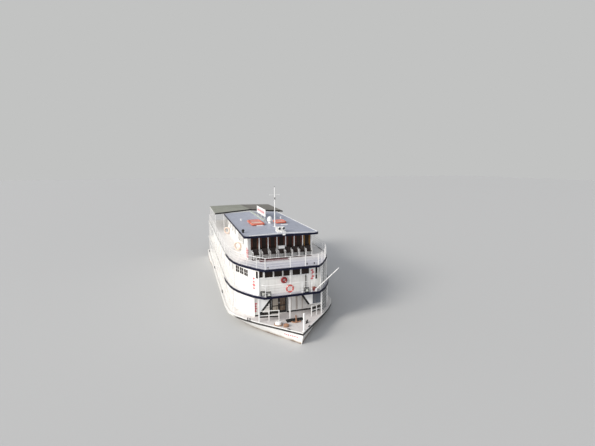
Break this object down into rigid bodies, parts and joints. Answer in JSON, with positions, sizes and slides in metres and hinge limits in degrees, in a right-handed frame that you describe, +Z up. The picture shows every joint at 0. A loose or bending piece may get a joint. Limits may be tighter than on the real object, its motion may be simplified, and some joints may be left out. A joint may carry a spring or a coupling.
{
  "type": "stern-wheel river paddle steamer",
  "caption": "Full-size river paddle boat: flat-bottomed hull, stacked decks with railed galleries, canopy aft, turning stern wheel, rudders, boom and doors.",
  "frame": {"origin": "centre of the flat hull bottom amidships, 17.0 m aft of the stem head and 1.0 m below the waterline", "axes": "+X to the bow, +Y to port, +Z up"},
  "size_m": [37.6999, 11.08, 13.9],
  "materials": {
    "white": "semi-gloss white paint, a little chalky",
    "cream": "satin off-white paint on panelled walls",
    "navy": "satin navy paint",
    "dark": "satin near-black",
    "deck": "matt lilac-grey deck paint",
    "roof": "satin blue-grey sheet roofing",
    "taupe": "matt grey-brown sheet roofing",
    "glass": "dark tinted window glass",
    "orange": "weathered orange float cover",
    "red": "satin dark red paint",
    "rust": "rusted iron",
    "iron": "dark painted iron"
  },
  "bodies": {
    "boat": {"hull": "white", "main_rail_port": "white", "main_rail_starboard": "white", "deck_2_rail_port": "white", "deck_2_rail_starboard": "white", "deck_2_rail_front": "white", "deck_2_rail_aft": "white", "deck_3_rail_port": "white", "deck_3_rail_starboard": "white", "deck_3_rail_front": "white", "deck_3_rail_aft": "white", "bow_post": "white", "canopy_frame": "white", "jackstaff": "white", "bow_frame_port": "white", "bow_frame_starboard": "white", "rope_drum": "white", "boom_step": "white", "mast": "white", "radome": "white", "sign_board": "white", "lamp_bracket": "white", "wheel_beam_port": "white", "wheel_beam_starboard": "white", "main_house": "cream", "deck_2_house": "cream", "top_cabin": "cream", "deck_2_fascia": "navy", "deck_3_fascia": "navy", "roof_fascia": "navy", "rubbing_strake": "dark", "deck_grate": "dark", "deck_seats_starboard": "dark", "deck_seat_port": "dark", "chair_row": "dark", "horn": "dark", "main_deck": "deck", "deck_2": "deck", "deck_3": "deck", "main_roof": "roof", "canopy": "taupe", "main_house_glazing": "glass", "main_aft_glazing": "glass", "deck_2_glazing": "glass", "top_cabin_glazing": "glass", "lifebuoy_rail": "orange", "raft_starboard": "orange", "raft_port": "orange", "lifebuoy_wall": "red", "anchor": "rust", "engine": "iron"},
    "paddle_wheel": {"paddle_wheel": "red"},
    "rudder_port": {"rudder_port": "iron"},
    "rudder_starboard": {"rudder_starboard": "iron"},
    "boom": {"boom": "white"},
    "bow_door_port": {"bow_door_port": "dark"},
    "bow_door_starboard": {"bow_door_starboard": "dark"},
    "cabin_door_port": {"cabin_door_port": "white"},
    "cabin_door_starboard": {"cabin_door_starboard": "white"},
    "searchlights": {"searchlights": "white"}
  },
  "joints": [
    {"name": "wheel_spin", "type": "hinge", "parent": "boat", "child": "paddle_wheel", "pos_m": [-18.7, 0, 2.35], "axis": [0, 1, 0], "continuous": true},
    {"name": "rudder_port_turn", "type": "hinge", "parent": "boat", "child": "rudder_port", "pos_m": [-16.16, 2, 1.4], "axis": [0, 0, 1], "range_deg": [-35, 35]},
    {"name": "rudder_starboard_turn", "type": "hinge", "parent": "boat", "child": "rudder_starboard", "pos_m": [-16.16, -2, 1.4], "axis": [0, 0, 1], "range_deg": [-35, 35]},
    {"name": "boom_luff", "type": "hinge", "parent": "boat", "child": "boom", "pos_m": [13.94, 2.33, 4.68], "axis": [1, 0, 0], "range_deg": [-34, 33]},
    {"name": "bow_door_port_open", "type": "hinge", "parent": "boat", "child": "bow_door_port", "pos_m": [12.4124, -0.124, 2.2], "axis": [0, 0, 1], "range_deg": [0, 100]},
    {"name": "bow_door_starboard_open", "type": "hinge", "parent": "boat", "child": "bow_door_starboard", "pos_m": [12.4124, -1.556, 2.2], "axis": [0, 0, -1], "range_deg": [0, 100]},
    {"name": "cabin_door_port_open", "type": "hinge", "parent": "boat", "child": "cabin_door_port", "pos_m": [5.156, 3.3124, 7.1], "axis": [0, 0, -1], "range_deg": [0, 100]},
    {"name": "cabin_door_starboard_open", "type": "hinge", "parent": "boat", "child": "cabin_door_starboard", "pos_m": [5.156, -3.3124, 7.1], "axis": [0, 0, 1], "range_deg": [0, 100]},
    {"name": "searchlight_pan", "type": "hinge", "parent": "boat", "child": "searchlights", "pos_m": [10.5, 0, 9.81], "axis": [0, 0, 1], "range_deg": [-170, 170]}
  ],
  "couplings": [
    {"joint": "rudder_starboard_turn", "follows": "rudder_port_turn", "ratio": 1}
  ]
}
